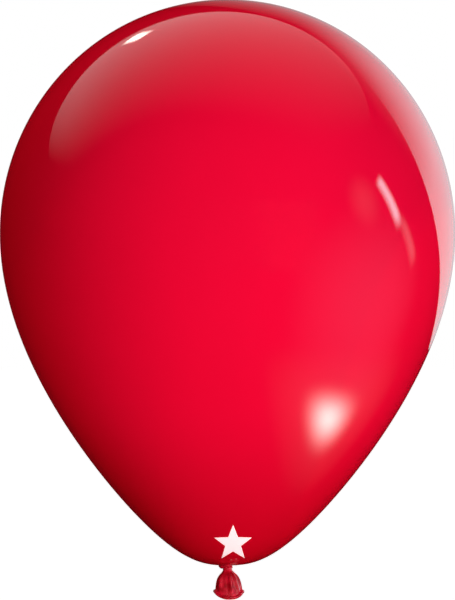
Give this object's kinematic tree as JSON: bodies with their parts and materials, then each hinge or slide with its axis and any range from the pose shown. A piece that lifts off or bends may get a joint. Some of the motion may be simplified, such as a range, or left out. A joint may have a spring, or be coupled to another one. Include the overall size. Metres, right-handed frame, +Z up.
{
  "type": "latex balloon",
  "caption": "Inflated teardrop latex balloon with a knotted neck, a flared tail that bends below the knot, and a rolled lip.",
  "frame": {"origin": "centre of the pinched neck just under the knot, where a ribbon is tied", "axes": "+Z up along the balloon's axis from the knot to the crown, front (the printed side) towards -Y, +X to the right seen from the front"},
  "size_m": [0.2799, 0.28, 0.3688],
  "materials": {
    "latex_body": "glossy stretched red latex film",
    "latex_neck": "satin unstretched red latex",
    "print_ink": "white printing ink, opaque"
  },
  "bodies": {
    "balloon": {"envelope": "latex_body", "crown_tip": "latex_body", "neck_root": "latex_body", "printed_star": "print_ink"},
    "knot": {"knot_loop": "latex_neck", "knot_core": "latex_neck"},
    "waist": {"neck_waist": "latex_neck"},
    "tail": {"tail_skirt": "latex_neck", "rolled_lip": "latex_neck"}
  },
  "joints": [
    {"name": "knot_twist", "type": "hinge", "parent": "balloon", "child": "knot", "pos_m": [0, 0, 0.0075], "axis": [0, 0, 1], "range_deg": [-90, 90], "stiffness_Nm_per_rad": 0.0001},
    {"name": "tail_sway", "type": "hinge", "parent": "knot", "child": "waist", "pos_m": [0, 0, 0], "axis": [0, 1, 0], "range_deg": [-30, 30], "stiffness_Nm_per_rad": 0.0001},
    {"name": "tail_tilt", "type": "hinge", "parent": "waist", "child": "tail", "pos_m": [0, 0, 0], "axis": [1, 0, 0], "range_deg": [-30, 30], "stiffness_Nm_per_rad": 0.0001}
  ]
}
